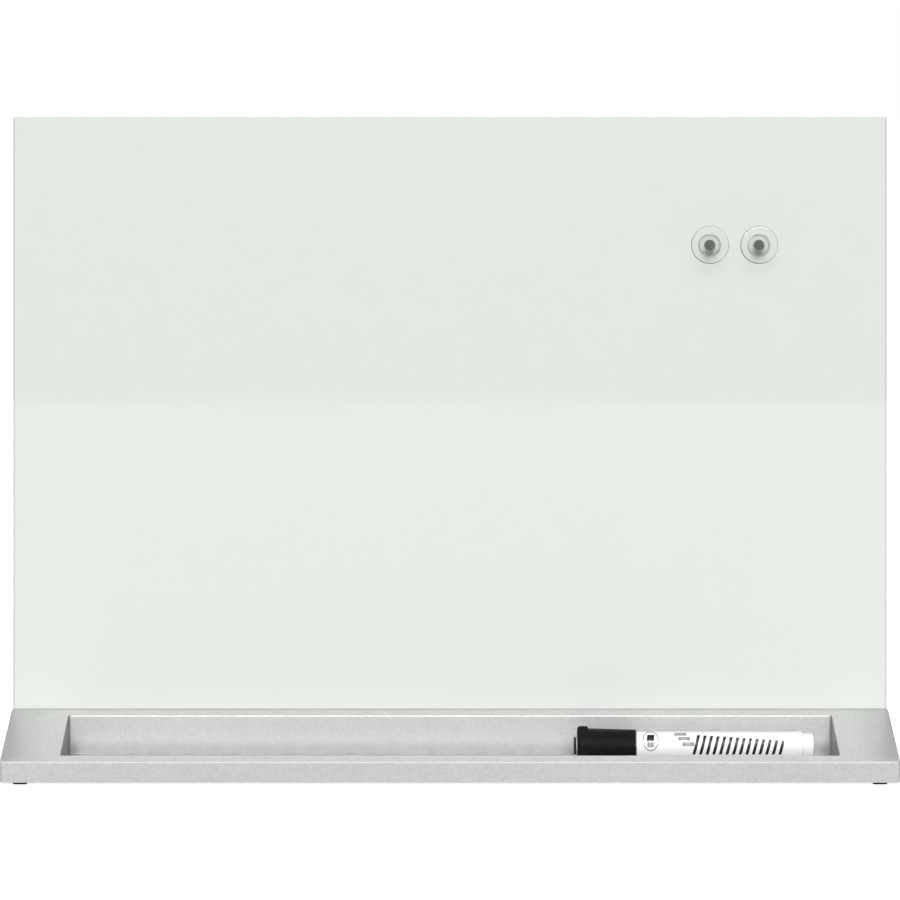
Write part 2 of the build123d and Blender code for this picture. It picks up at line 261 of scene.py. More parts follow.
def ramp(tree, value, low, high, to_low=0.0, to_high=1.0, smooth=True):
    """Value carried from one range to another and held at both ends."""
    kind = "SMOOTHSTEP" if smooth else "LINEAR"
    inputs = {"Value": value, "From Min": low, "From Max": high, "To Min": to_low, "To Max": to_high}
    return add_node(tree, "ShaderNodeMapRange", inputs, interpolation_type=kind).outputs["Result"]


def hump(tree, value, start, full, waning, end):
    """Mask that grows from 0 at the start to 1 where it is full, then wanes to 0 at the end."""
    return product(tree, ramp(tree, value, start, full), ramp(tree, value, end, waning))


def blend_colours(tree, share, first, second):
    """Colour between two colours."""
    inputs = {"Factor": share, 6: first, 7: second}
    return add_node(tree, "ShaderNodeMix", inputs, data_type="RGBA").outputs[2]


def coordinates(tree, place):
    """Sockets X, Y and Z of a place."""
    return add_node(tree, "ShaderNodeSeparateXYZ", {0: place}).outputs


def shrink(tree, place, size):
    """Place counted in a pattern's size instead of metres."""
    times = calculate(tree, "DIVIDE", 1.0, size)
    return add_node(tree, "ShaderNodeVectorMath", {0: place, 3: times}, operation="SCALE").outputs[0]


def drawn_out(tree, place, *sizes):
    """Place counted in three sizes, one along each direction, which draws a pattern out."""
    inputs = {"Vector": place, "Scale": tuple(1 / size for size in sizes)}
    return add_node(tree, "ShaderNodeMapping", inputs).outputs["Vector"]


def noise(tree, place, scale=1.0, detail=2.0, **others):
    """Noise of 0 to 1, with patches about as wide as 1 over the scale."""
    inputs = {"Vector": place, "Scale": scale, "Detail": detail, **others}
    return add_node(tree, "ShaderNodeTexNoise", inputs).outputs["Fac"]


def start_group(name, inputs, outputs):
    """New shader node group with named sockets, as its tree, its inputs and its output's inputs."""
    tree = bpy.data.node_groups.new(name, "ShaderNodeTree")
    for sockets, side in ((inputs, "INPUT"), (outputs, "OUTPUT")):
        for label, kind in sockets.items():
            tree.interface.new_socket(label, in_out=side, socket_type=f"NodeSocket{kind}")
    return tree, tree.nodes.new("NodeGroupInput").outputs, tree.nodes.new("NodeGroupOutput").inputs


def shared(tree, build, **inputs):
    """Outputs of a shared group placed in a material, its inputs named with underscores."""
    node = tree.nodes.new("ShaderNodeGroup")
    node.node_tree = bpy.data.node_groups.get(build.__name__) or build(build.__name__)
    for key, value in inputs.items():
        feed(tree, value, node.inputs[key.replace("_", " ")])
    return node.outputs


# ---- Shared effects ----


def fine_grain(name):
    """Moulded or cast grain: noise with two octaves at the grain's size, as a mask."""
    tree, given, result = start_group(name, {"Place": "Vector", "Size": "Float"}, {"Mask": "Float"})
    grain = noise(tree, shrink(tree, given["Place"], given["Size"]), detail=2.0)
    feed(tree, ramp(tree, grain, low=0.3, high=0.7), result["Mask"])
    return tree


def flecks(name):
    """Metal flakes in paint: random cells of one size, with the few bright ones picked out."""
    tree, given, result = start_group(
        name, {"Place": "Vector", "Size": "Float"}, {"Shade": "Float", "Spark": "Float"}
    )
    shrunk = shrink(tree, given["Place"], given["Size"])
    cells = add_node(tree, "ShaderNodeTexVoronoi", {"Vector": shrunk, "Scale": 1.0})
    shade = add_node(tree, "ShaderNodeSeparateColor", {0: cells.outputs["Color"]}).outputs[0]
    feed(tree, shade, result["Shade"])
    feed(tree, ramp(tree, shade, low=0.9, high=1.0), result["Spark"])
    return tree


def handling(name):
    """Handling marks: broad soft noise broken by finer noise, as a spread of roughness."""
    tree, given, result = start_group(
        name,
        {"Place": "Vector", "Size": "Float", "Least": "Float", "Most": "Float"},
        {"Roughness": "Float"},
    )
    shrunk = shrink(tree, given["Place"], given["Size"])
    broad = noise(tree, shrunk, detail=3.0, Roughness=0.6, Distortion=0.8)
    spread = ramp(tree, broad, 0.35, 0.7, to_low=given["Least"], to_high=given["Most"])
    feed(tree, spread, result["Roughness"])
    return tree


def scratches(name):
    """Fine scratches: noise drawn out along two crossing directions and kept where it peaks."""
    tree, given, result = start_group(name, {"Place": "Vector", "Width": "Float"}, {"Mask": "Float"})
    shrunk = shrink(tree, given["Place"], given["Width"])
    lines = []
    for turn, squeeze in ((0.5, 0.015), (-0.9, 0.02)):
        inputs = {"Vector": shrunk, "Rotation": (turn, turn, turn), "Scale": (squeeze, 1.0, 1.0)}
        along = add_node(tree, "ShaderNodeMapping", inputs).outputs[0]
        lines.append(ramp(tree, noise(tree, along, detail=1.0), low=0.68, high=0.78))
    feed(tree, largest(tree, *lines), result["Mask"])
    return tree


def settled_dust(name):
    """Dust that settles on faces that look up, in soft drifts with finer specks."""
    tree, given, result = start_group(
        name,
        {"Place": "Vector", "Colour": "Color", "Dust Colour": "Color", "Amount": "Float"},
        {"Colour": "Color"},
    )
    facing = add_node(tree, "ShaderNodeNewGeometry").outputs["Normal"]
    level = ramp(tree, coordinates(tree, facing)["Z"], low=0.5, high=0.95)
    drifts = ramp(tree, noise(tree, given["Place"], scale=45.0, detail=4.0), low=0.35, high=0.75)
    specks = ramp(tree, noise(tree, given["Place"], scale=1400.0, detail=1.0), low=0.45, high=0.7)
    cover = product(tree, level, drifts, specks, given["Amount"])
    feed(tree, blend_colours(tree, cover, given["Colour"], given["Dust Colour"]), result["Colour"])
    return tree


# ---- Materials ----


def start_material(name, colour, roughness, **constants):
    """New material with one Principled shader, as the material, tree, shader and place socket."""
    material = bpy.data.materials.new(name)
    material.use_nodes = True
    tree = material.node_tree
    shader = find_node(tree, "BSDF_PRINCIPLED")
    shader.inputs["Base Color"].default_value = tint(colour)
    shader.inputs["Roughness"].default_value = roughness
    for key, value in constants.items():
        shader.inputs[key.replace("_", " ")].default_value = value
    place = add_node(tree, "ShaderNodeTexCoord").outputs["Object"]
    return material, tree, shader, place


def tint(colour, strength=1.0):
    """Colour with its strength changed, as four numbers."""
    return (*(min(1.0, strength * part) for part in colour), 1.0)


def shade_colour(tree, shader, mask, colour, darkest):
    """Shades the shader's colour by a mask, down to a share of its strength."""
    shaded = blend_colours(tree, mask, tint(colour, darkest), tint(colour))
    feed(tree, shaded, shader.inputs["Base Color"])


def spread_gloss(tree, shader, place, size, least, most):
    """Spreads the shader's roughness with handling marks of a size."""
    marks = shared(tree, handling, Place=place, Size=size, Least=least, Most=most)["Roughness"]
    feed(tree, marks, shader.inputs["Roughness"])


def raise_surface(tree, shader, height, depth):
    """Feeds a height in metres, from a mask of 0 to 1, to the shader's normal."""
    bump = add_node(tree, "ShaderNodeBump", {"Height": height, "Strength": 1.0, "Distance": depth})
    feed(tree, bump.outputs["Normal"], shader.inputs["Normal"])


def near_line(tree, place, front, height, width):
    """Mask of 1 along a level line from side to side, 0 farther off than the width."""
    part = coordinates(tree, place)
    away = [
        calculate(tree, "ABSOLUTE", calculate(tree, "SUBTRACT", part[axis], line))
        for axis, line in (("Y", front), ("Z", height))
    ]
    return ramp(tree, largest(tree, *away), width, width / 2)


def rubbed_edges(tree, place, settings):
    """Mask of rubbing by hands, which dulls the deck's front edge and the tray's mouth.

    Each line's height is the top of the upright skirt plus the deck's rise from its front edge.
    """
    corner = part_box("base_shell")[0]
    rounding = settings.mouth_rounding / 2
    side = calculate(tree, "ABSOLUTE", coordinates(tree, place)["X"])
    end = settings.tray_length / 2 + rounding
    at_mouth = ramp(tree, side, end + rounding, end, to_high=settings.mouth_rub)
    rubbed = 0.0
    for line, cover in (
        (corner.y, 1.0),
        (-settings.tray_front - rounding, at_mouth),
        (-settings.tray_rear + rounding, at_mouth),
    ):
        height = corner.z + settings.skirt_height + (line - corner.y) * np.tan(settings.deck_slope)
        strip = near_line(tree, place, line, height, settings.rub_width)
        rubbed = largest(tree, rubbed, product(tree, strip, cover))
    return rubbed


def tray_painted_shade(tree, place, settings):
    """Masks of being inside the tray and of painted shade there: darker on its ends, toward its floor,
    in its rear cove and on the lip in front, broken up by soft noise."""
    soft, shade_reach, lip, cove = 0.3 * MM, 10 * MM, 1 * MM, 1 * MM
    full_shade_height, unshaded_height = 2 * MM, 9 * MM
    at_right_end, by_an_end = 0.85 * settings.end_painted_shade, 0.8 * settings.end_painted_shade
    part = coordinates(tree, place)
    side = calculate(tree, "ABSOLUTE", part["X"])
    end = settings.tray_length / 2
    mouth = -settings.tray_front - settings.mouth_rounding
    rear, floor = -settings.tray_rear, settings.tray_floor
    inside = product(
        tree,
        ramp(tree, side, end + soft, end + soft / 2),
        hump(tree, part["Y"], mouth - soft, mouth, rear + soft / 2, rear + soft),
    )
    on_end = product(
        tree,
        ramp(tree, side, end - 5 * soft, end - soft),
        ramp(tree, part["X"], -end, end, settings.end_painted_shade, at_right_end),
    )
    on_floor = product(
        tree,
        ramp(tree, part["Z"], floor + unshaded_height, floor + full_shade_height),
        ramp(tree, side, end - shade_reach, end - soft, settings.floor_painted_shade, by_an_end),
    )
    in_cove = product(tree, near_line(tree, place, rear, floor, cove), settings.cove_painted_shade)
    on_lip = ramp(tree, part["Y"], mouth + 2 * lip, mouth + lip, to_high=settings.lip_painted_shade)
    shade_cover = largest(tree, on_end, on_floor, in_cove, on_lip)
    drifts = noise(tree, place, scale=160.0, detail=4.0)
    uneven = ramp(tree, drifts, 0.2, 0.8, to_low=0.85, to_high=1.1)
    return inside, product(tree, shade_cover, uneven, inside)


def deck_end_shade(tree, place, settings):
    """Mask of painted shade on the deck's two ends, above the upright skirt."""
    unshaded_inset, full_shade_inset, soft = 26 * MM, 2 * MM, 1 * MM
    part = coordinates(tree, place)
    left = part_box("base_shell")[0]
    top = left.z + settings.skirt_height
    side = calculate(tree, "ABSOLUTE", part["X"])
    out = ramp(tree, side, -left.x - unshaded_inset, -left.x - full_shade_inset)
    return product(tree, out, ramp(tree, part["Z"], top, top + soft), settings.deck_end_shade)


def silver_paint(settings):
    """Satin silver paint over moulded plastic, with visible flakes and a slight flow texture.

    Inside the tray it is painted paler, as painted light, and painted shade darkens the tray's ends,
    floor, rear cove and front lip. Its rubbed edges are dull, and painted shade darkens the deck's
    ends.
    """
    spark_share, flake_share, flow_share = 0.45, 0.25, 0.3
    darkest, lightest = 0.93, 1.22
    material, tree, shader, place = start_material(
        "silver_paint", settings.paint_colour, roughness=0.48, Metallic=0.35, IOR=1.5
    )
    flakes = shared(tree, flecks, Place=place, Size=settings.fleck_size)
    flow = shared(tree, fine_grain, Place=place, Size=4 * settings.fleck_size)["Mask"]
    shade = weighted(
        tree, (flakes["Spark"], spark_share), (flakes["Shade"], flake_share), (flow, flow_share)
    )
    dark, light = (tint(settings.paint_colour, strength) for strength in (darkest, lightest))
    paint = blend_colours(tree, shade, dark, light)
    dusty = shared(tree, settled_dust, Place=place, Colour=paint, Dust_Colour=DUST, Amount=0.05)
    # Painted shade: the tray's ends, floor, rear cove and front lip are darkened towards a dark colour.
    inside, tray = tray_painted_shade(tree, place, settings)
    # Painted light: the tray's inside is lightened towards white.
    tray_light = product(tree, inside, settings.painted_tray_light)
    colour = blend_colours(tree, tray_light, dusty["Colour"], WHITE)
    # Painted shade: the deck's ends darken towards each end, in the same dark colour.
    painted_shade_cover = largest(tree, tray, deck_end_shade(tree, place, settings))
    colour = blend_colours(tree, painted_shade_cover, colour, tint(settings.painted_shade_colour))
    feed(tree, colour, shader.inputs["Base Color"])
    marks = shared(tree, handling, Place=place, Size=50 * MM, Least=0.34, Most=0.41)["Roughness"]
    dulled = largest(tree, rubbed_edges(tree, place, settings), tray)
    dulled = product(tree, dulled, settings.rubbed_roughness)
    feed(tree, largest(tree, marks, dulled), shader.inputs["Roughness"])
    relief = weighted(tree, (flakes["Shade"], 0.35), (flow, 1.0))
    raise_surface(tree, shader, relief, depth=0.006 * MM)
    return material


def backed_glass(settings):
    """Clear float glass over white enamel: cool white from the front, green along its edges.

    The pattern is laid out in the panel's own directions. Just inside each side edge a thin grey line
    is painted, a painted reflection standing for the far side of the bevel seen through the face. The
    bevels are painted too: a painted highlight along the sides and painted shade along the top. The
    depth runs from 0 at the front face to 1 at the rear one, where the enamel is.
    """
    bevel_soft, line_soft = 0.06 * MM, 0.15 * MM
    ground_bevel, ground_top, rough_enamel = 0.12, 0.35, 0.4
    material, tree, shader, place = start_material(
        "backed_glass", settings.glass_colour, roughness=0.015, IOR=1.52
    )
    lean = float(np.arctan2(PANEL_UP[1], PANEL_UP[2]))
    leant = {"Vector": place, "Rotation": (lean, 0, 0)}
    part = coordinates(tree, add_node(tree, "ShaderNodeMapping", leant).outputs[0])
    half, top = span("glass_sheet", RIGHT)[1], span("glass_sheet", PANEL_UP)[1]
    from_side = calculate(tree, "SUBTRACT", half, calculate(tree, "ABSOLUTE", part["X"]))
    from_top = calculate(tree, "SUBTRACT", top, part["Z"])
    from_edge = calculate(tree, "MINIMUM", from_side, from_top)
    depth = ramp(tree, part["Y"], *span("glass_sheet", -PANEL_NORMAL), smooth=False)
    on_top, at_edge = (
        ramp(tree, distance, settings.bevel_width + bevel_soft, settings.bevel_width)
        for distance in (from_top, from_edge)
    )

    drawn = drawn_out(tree, place, 20 * MM, 0.6 * MM, 20 * MM)
    streaks = product(tree, shared(tree, fine_grain, Place=drawn, Size=1.0)["Mask"], 0.3)
    green = blend_colours(tree, streaks, tint(settings.edge_colour), tint(settings.edge_light))
    # Painted highlight on the side bevels and painted shade on the top bevel.
    bevel = blend_colours(
        tree, on_top, tint(settings.bevel_colour), tint(settings.top_bevel_shade)
    )
    middle_of_edge = hump(tree, depth, start=0.08, full=0.3, waning=0.7, end=1.0)
    edge = blend_colours(tree, middle_of_edge, bevel, green)
    # Painted reflection: a grey line just inside each side edge, standing for the bevel's far side seen
    # through the face.
    line_end = settings.line_inset + settings.line_width
    line = hump(
        tree, from_side,
        settings.line_inset, settings.line_inset + line_soft, line_end - line_soft, line_end,
    )
    face = blend_colours(tree, line, tint(settings.glass_colour), tint(settings.painted_line_colour))
    seen = blend_colours(tree, at_edge, face, edge)
    enamel = ramp(tree, depth, low=0.955, high=0.975)
    colour = blend_colours(tree, enamel, seen, tint(settings.enamel_colour))
    feed(tree, colour, shader.inputs["Base Color"])
    smudge = shared(tree, handling, Place=place, Size=90 * MM, Least=0.012, Most=0.03)["Roughness"]
    rough = weighted(
        tree, (smudge, 1.0), (at_edge, ground_bevel), (on_top, ground_top), (enamel, rough_enamel)
    )
    feed(tree, rough, shader.inputs["Roughness"])
    return material


def plain_finish(
    name, colour, roughness, grain, depth, variation=0.15, dust=0.0, painted_limb_shade=0.0, **constants
):
    """Finish with a fine grain that varies its colour, gloss and height. Dust can lie on it, and
    painted shade can darken it where the surface turns away from the eye."""
    mark_size, most_spread, limb_shade_darkest = 20 * MM, 0.08, 0.2
    material, tree, shader, place = start_material(name, colour, roughness, **constants)
    mask = shared(tree, fine_grain, Place=place, Size=grain)["Mask"]
    base = blend_colours(tree, mask, tint(colour, 1 - variation), tint(colour))
    if dust:
        base = shared(tree, settled_dust, Place=place, Colour=base, Dust_Colour=DUST, Amount=dust)
        base = base["Colour"]
    # Painted shade: the colour darkens where the surface turns away from the eye.
    if painted_limb_shade:
        facing = add_node(tree, "ShaderNodeLayerWeight", {"Blend": 0.5}).outputs["Facing"]
        away = ramp(tree, facing, 0.25, 0.75, to_high=painted_limb_shade)
        base = blend_colours(tree, away, base, tint(colour, limb_shade_darkest))
    feed(tree, base, shader.inputs["Base Color"])
    spread = min(most_spread, roughness / 4)
    spread_gloss(tree, shader, place, mark_size, roughness - spread, roughness + spread)
    raise_surface(tree, shader, mask, depth)
    return material


def add_painted_line(material, colour, start, width):
    """Lays a line of colour round a finish, from a place along the part's length."""
    soft = 0.1 * MM
    tree = material.node_tree
    base = find_node(tree, "BSDF_PRINCIPLED").inputs["Base Color"]
    place = add_node(tree, "ShaderNodeTexCoord").outputs["Object"]
    end = start + width
    line = hump(
        tree, coordinates(tree, place)["X"], start - soft, start + soft, end - soft, end + soft
    )
    feed(tree, blend_colours(tree, line, base.links[0].from_socket, tint(colour)), base)


def bare_metal(name, colour, roughness, grain):
    """Plated or rolled metal: spangle in its colour and fine scratches in its gloss."""
    spread, scratch_depth = 0.1, 0.004 * MM
    material, tree, shader, place = start_material(name, colour, roughness, Metallic=1.0)
    spangle = shared(tree, flecks, Place=place, Size=grain)["Shade"]
    scratch = shared(tree, scratches, Place=place, Width=0.4 * MM)["Mask"]
    shade_colour(tree, shader, spangle, colour, darkest=0.8)
    gloss = calculate(tree, "MULTIPLY_ADD", spangle, spread, roughness - spread / 2)
    worn = calculate(tree, "MULTIPLY_ADD", scratch, spread, gloss)
    feed(tree, worn, shader.inputs["Roughness"])
    raise_surface(tree, shader, calculate(tree, "SUBTRACT", 1.0, scratch), scratch_depth)
    return material


def clear_acrylic(settings):
    """Clear moulded acrylic that lets lamps through, so that its shadow stays pale."""
    material, tree, shader, place = start_material(
        "clear_acrylic", settings.acrylic_colour, roughness=0.02, IOR=1.49, Transmission_Weight=1.0
    )
    spread_gloss(tree, shader, place, size=6 * MM, least=0.008, most=0.035)
    passing = add_node(tree, "ShaderNodeBsdfTransparent", {"Color": tint(settings.shadow_colour)})
    rays = add_node(tree, "ShaderNodeLightPath").outputs
    lamp_ray = largest(tree, rays["Is Shadow Ray"], rays["Is Diffuse Ray"])
    sides = {0: lamp_ray, 1: shader.outputs[0], 2: passing.outputs[0]}
    mixed = add_node(tree, "ShaderNodeMixShader", sides).outputs[0]
    feed(tree, mixed, find_node(tree, "OUTPUT_MATERIAL").inputs["Surface"])
    return material


def plated_core(settings):
    """Dull plating of the magnets, with a fine grain."""
    material, tree, shader, place = start_material(
        "plated_core", settings.core_colour, roughness=0.35, Metallic=0.75
    )
    mask = shared(tree, fine_grain, Place=place, Size=0.4 * MM)["Mask"]
    shade_colour(tree, shader, mask, settings.core_colour, darkest=0.6)
    spread_gloss(tree, shader, place, size=2 * MM, least=0.3, most=0.45)
    raise_surface(tree, shader, mask, depth=0.02 * MM)
    return material


def fibre(name, colour):
    """Pressed fibre: strands drawn out along the marker."""
    material, tree, shader, place = start_material(name, colour, roughness=0.9)
    strands = drawn_out(tree, place, 4 * MM, 0.2 * MM, 0.2 * MM)
    mask = shared(tree, fine_grain, Place=strands, Size=1.0)["Mask"]
    shade_colour(tree, shader, mask, colour, darkest=0.5)
    raise_surface(tree, shader, mask, depth=0.05 * MM)
    return material


# ---- Settings ----


def colour_setting(name, description, default):
    """Colour property."""
    return FloatVectorProperty(
        name=name, description=description, subtype="COLOR", size=3, min=0, max=1, default=default
    )


def length_setting(name, description, default):
    """Length property, in metres."""
    return FloatProperty(
        name=name, description=description, unit="LENGTH", min=0, default=default, precision=5
    )


def share_setting(name, description, default):
    """Property of a share, from 0 to 1."""
    return FloatProperty(
        name=name, description=description, subtype="FACTOR", min=0, max=1, default=default
    )


def angle_setting(name, description, degrees):
    """Angle property, its default given in degrees."""
    return FloatProperty(
        name=name, description=description, subtype="ANGLE", default=float(np.radians(degrees))
    )


def power_setting(name, description, default):
    """Property of a lamp's power, in watts."""
    return FloatProperty(name=name, description=description, unit="POWER", min=0, default=default)


class BaseSettings(bpy.types.PropertyGroup):
    """Finishes of the base."""

    paint_colour: colour_setting("Paint Colour", "Colour of the silver paint", (0.61, 0.613, 0.606))
    fleck_size: length_setting("Fleck Size", "Size of the paint's metal flakes", 0.45 * MM)
    tray_length: length_setting("Tray Length", "Length of the marker tray", 397.4 * MM)
    tray_front: length_setting("Tray Front", "Middle to the tray's front wall", 57.6 * MM)
    tray_rear: length_setting("Tray Rear", "Middle to the tray's rear wall", 11.9 * MM)
    tray_floor: length_setting("Tray Floor", "Height of the tray's floor", 4.8 * MM)
    skirt_height: length_setting("Skirt Height", "Height of the base's upright front", 10.8 * MM)
    mouth_rounding: length_setting("Mouth Rounding", "Rounding of the tray's mouth", 0.8 * MM)
    deck_slope: angle_setting("Deck Slope", "Slope of the deck", 13.5)
    rub_width: length_setting("Rub Width", "Width of the dulled strip on an edge", 1.2 * MM)
    rubbed_roughness: share_setting("Rubbed Roughness", "Roughness of rubbed paint", 0.62)
    mouth_rub: share_setting("Mouth Rub", "Rubbing of the tray's mouth beside the deck's edge", 0.8)
    # Painted shade: End Grime darkens the deck's two ends.
    deck_end_shade: share_setting("End Grime", "Cover of grime on the deck's ends", 0.19)
    # Painted light: Fresh Paint lightens the tray's inside.
    painted_tray_light: share_setting("Fresh Paint", "How much paler the tray is", 0.14)
    # Painted shade: Marker Dust is the dark colour of the painted shade, and the four dust settings
    # below set how much the tray's ends, floor, rear cove and lip are darkened.
    painted_shade_colour: colour_setting("Marker Dust", "Colour of the dust in the tray", (0.13, 0.132, 0.13))
    end_painted_shade: share_setting("End Dust", "Cover of dust on the tray's ends", 0.72)
    floor_painted_shade: share_setting("Floor Dust", "Cover of dust on the tray's floor", 0.38)
    cove_painted_shade: share_setting("Cove Dust", "Cover of dust in the tray's rear cove", 0.64)
    lip_painted_shade: share_setting("Lip Dust", "Cover of dust on the tray's front lip", 0.25)
    plate_colour: colour_setting("Plate Colour", "Colour of the steel base plate", (0.1, 0.1, 0.1))
    rubber_colour: colour_setting("Rubber Colour", "Colour of the feet", (0.006, 0.006, 0.006))
    gasket_colour: colour_setting("Gasket Colour", "Colour of the panel's gasket", (0.41, 0.415, 0.41))
    screw_colour: colour_setting("Screw Colour", "Plating of the screws", (0.62, 0.61, 0.58))
    shank_radius: length_setting("Shank Radius", "Radius of a screw's shank", 1.45 * MM)
    screw_point: length_setting("Screw Point", "Length of a screw's point", 1.5 * MM)
    recess_reach: length_setting("Recess Reach", "Reach of each arm of a screw's cross", 1.35 * MM)
    recess_width: length_setting("Recess Width", "Half width of an arm of a screw's cross", 0.32 * MM)
    recess_depth: length_setting("Recess Depth", "Depth of a screw's cross", 0.8 * MM)


class PanelSettings(bpy.types.PropertyGroup):
    """Finishes of the panel."""

    glass_colour: colour_setting("Glass Colour", "White seen through the glass", (0.655, 0.69, 0.648))
    edge_colour: colour_setting("Edge Colour", "Green of the glass at its edges", (0.30, 0.44, 0.37))
    edge_light: colour_setting("Edge Light", "Paler green in an edge's streaks", (0.52, 0.66, 0.58))
    bevel_width: length_setting("Bevel Width", "Width of the glass's bevels", 0.36 * MM)
    # Bevel Colour is a painted highlight on the side bevels and Top Bevel Colour is painted shade on
    # the top one.
    bevel_colour: colour_setting("Bevel Colour", "Pale bevels of the glass", (0.88, 0.91, 0.88))
    top_bevel_shade: colour_setting("Top Bevel Colour", "Bevel along the top", (0.58, 0.61, 0.6))
    # Painted reflection: the line set below is a grey line standing for the bevel's far side seen
    # through the glass.
    line_inset: length_setting("Line Inset", "Side edge to the grey line inside it", 0.5 * MM)
    line_width: length_setting("Line Width", "Width of the grey line", 0.45 * MM)
    painted_line_colour: colour_setting("Line Colour", "Grey line inside a side edge", (0.36, 0.38, 0.36))
    enamel_colour: colour_setting("Enamel Colour", "White coat on the glass's rear", (0.74, 0.75, 0.73))
    back_colour: colour_setting("Back Colour", "Paint on the steel sheet's rear", (0.62, 0.625, 0.62))
    tape_colour: colour_setting("Tape Colour", "Colour of the bonding tape", (0.45, 0.45, 0.44))


class MagnetSettings(bpy.types.PropertyGroup):
    """Sizes and finishes of the magnets."""

    stem_radius: length_setting("Stem Radius", "Radius of a knob's stem", 5.3 * MM)
    flange_thickness: length_setting("Flange Thickness", "Thickness of a knob's flange", 3.2 * MM)
    rim_rounding: length_setting("Rim Rounding", "Rounding of a knob's rims", 0.8 * MM)
    cove_radius: length_setting("Cove Radius", "Hollow between stem and flange", 0.8 * MM)
    fine_rounding: length_setting("Fine Rounding", "Rounding of a knob's foot", 0.12 * MM)
    core_clearance: length_setting("Core Clearance", "Gap round the magnet in its knob", 0.05 * MM)
    acrylic_colour: colour_setting("Acrylic Colour", "Tint of the knobs", (0.97, 0.985, 0.975))
    shadow_colour: colour_setting("Shadow Colour", "Light that a knob passes on", (0.94, 0.95, 0.945))
    core_colour: colour_setting("Core Colour", "Plating of the magnets", (0.055, 0.057, 0.055))


class MarkerSettings(bpy.types.PropertyGroup):
    """Sizes and finishes of the marker."""

    barrel_wall: length_setting("Barrel Wall", "Wall of the barrel", 1.3 * MM)
    nose_radius: length_setting("Nose Radius", "Radius of the barrel's nose", 7.0 * MM)
    nose_taper: length_setting("Nose Taper", "Loss of radius along the nose", 0.4 * MM)
    end_rounding: length_setting("End Rounding", "Rounding of the barrel's ends", 0.4 * MM)
    shoulder_rounding: length_setting("Shoulder Rounding", "Rounding of its shoulder", 0.35 * MM)
    plug_rounding: length_setting("Plug Rounding", "Rounding of the end plug's rim", 0.9 * MM)
    dish_depth: length_setting("Dish Depth", "Depth of the dish in the plug's end", 0.5 * MM)
    cap_clearance: length_setting("Cap Clearance", "Gap between cap and barrel", 0.3 * MM)
    inner_clearance: length_setting("Inner Clearance", "Gap round the inner pieces", 0.05 * MM)
    button_radius: length_setting("Button Radius", "Radius of the cap's end button", 4.5 * MM)
    button_thickness: length_setting("Button Thickness", "Thickness of the button", 1.0 * MM)
    button_rounding: length_setting("Button Rounding", "Rounding of the button", 0.25 * MM)
    groove_radius: length_setting("Groove Radius", "Radius between button and flange", 4.0 * MM)
    groove_width: length_setting("Groove Width", "Gap between button and flange", 0.6 * MM)
    wide_radius: length_setting("Wide Radius", "Round radius of the cap's flange", 9.1 * MM)
    mouth_radius: length_setting("Mouth Radius", "Radius of the cap's mouth", 8.3 * MM)
    mouth_rounding: length_setting("Mouth Rounding", "Rounding of the cap's mouth", 0.2 * MM)
    flange_rounding: length_setting("Flange Rounding", "Rounding of the flange's end", 1.8 * MM)
    flange_end: length_setting("Flange End", "Flange's right side from the cap's left", 7.1 * MM)
    lobe_count: IntProperty(name="Lobes", description="Lobes on the flange", default=3, min=2)
    lobe_reach: length_setting("Lobe Reach", "Reach of a lobe from the axis", 10.3 * MM)
    lobe_radius: length_setting("Lobe Radius", "Radius of a lobe", 3.0 * MM)
    fine_rounding: length_setting("Fine Rounding", "Rounding of the fine edges", 0.12 * MM)
    # Painted highlight: the line below stands for light on the cap's end step.
    painted_line_colour: colour_setting("Line Colour", "Pale line at the cap's end step", (0.6, 0.6, 0.6))
    line_place: length_setting("Line Place", "Right of the middle, where the line starts", 64.9 * MM)
    line_width: length_setting("Line Width", "Width of the line", 0.6 * MM)
    barrel_colour: colour_setting("Barrel Colour", "White plastic of the barrel", (0.9, 0.9, 0.9))
    cap_colour: colour_setting("Cap Colour", "Black plastic of the cap", (0.011, 0.0105, 0.011))
    liner_colour: colour_setting("Liner Colour", "Soft seal in the cap", (0.7, 0.7, 0.68))
    reservoir_colour: colour_setting("Reservoir Colour", "Inked fibre rod", (0.035, 0.035, 0.04))
    nib_colour: colour_setting("Nib Colour", "Inked felt of the nib", (0.03, 0.03, 0.032))
    print_colour: colour_setting("Print Colour", "Dark ink of the print", (0.012, 0.012, 0.013))
    pale_print_colour: colour_setting("Pale Print Colour", "Grey ink of the print", (0.36, 0.36, 0.37))
    print_lift: length_setting("Print Lift", "Height of the ink over the barrel", 0.04 * MM)
    print_thickness: length_setting("Print Thickness", "Thickness of the ink", 0.03 * MM)
    print_turn: angle_setting("Print Turn", "Turn of the print's middle from top to front", 58.2)
    stripe_count: IntProperty(name="Stripes", description="Slanting stripes", default=14, min=1)
    stripe_pitch: length_setting("Stripe Pitch", "From one stripe to the next", 3.4 * MM)


class StageSettings(bpy.types.PropertyGroup):
    """Camera, lamps and surroundings."""

    lens: FloatProperty(name="Lens", description="Focal length", unit="CAMERA", default=160.04)
    aim_height: length_setting("Aim Height", "Height up the glass that the camera faces", 135.33 * MM)
    distance: length_setting("Distance", "Camera's distance from the glass", 2.092)
    key_power: power_setting("Key Power", "Front lamp", 570.0)
    top_power: power_setting("Top Power", "Overhead lamp", 4.0)
    rear_power: power_setting("Rear Power", "Lamp behind", 60.0)
    room_light: share_setting("Room Light", "Soft light from all round", 0.1)
    low_light: share_setting("Low Light", "Surroundings near the horizon", 1.0)
    high_light: share_setting("High Light", "Surroundings higher up", 0.05)
    edge_slope: FloatProperty(
        name="Edge Slope", description="Rise over run at which the surroundings darken", default=0.1523
    )
    floor_radius: length_setting("Floor Radius", "Radius of the desk", 1.6)
    floor_colour: colour_setting("Floor Colour", "Colour of the desk", (0.4, 0.4, 0.4))
    floor_glow: share_setting("Floor Glow", "What lifts the floor to white for the eye", 0.9)


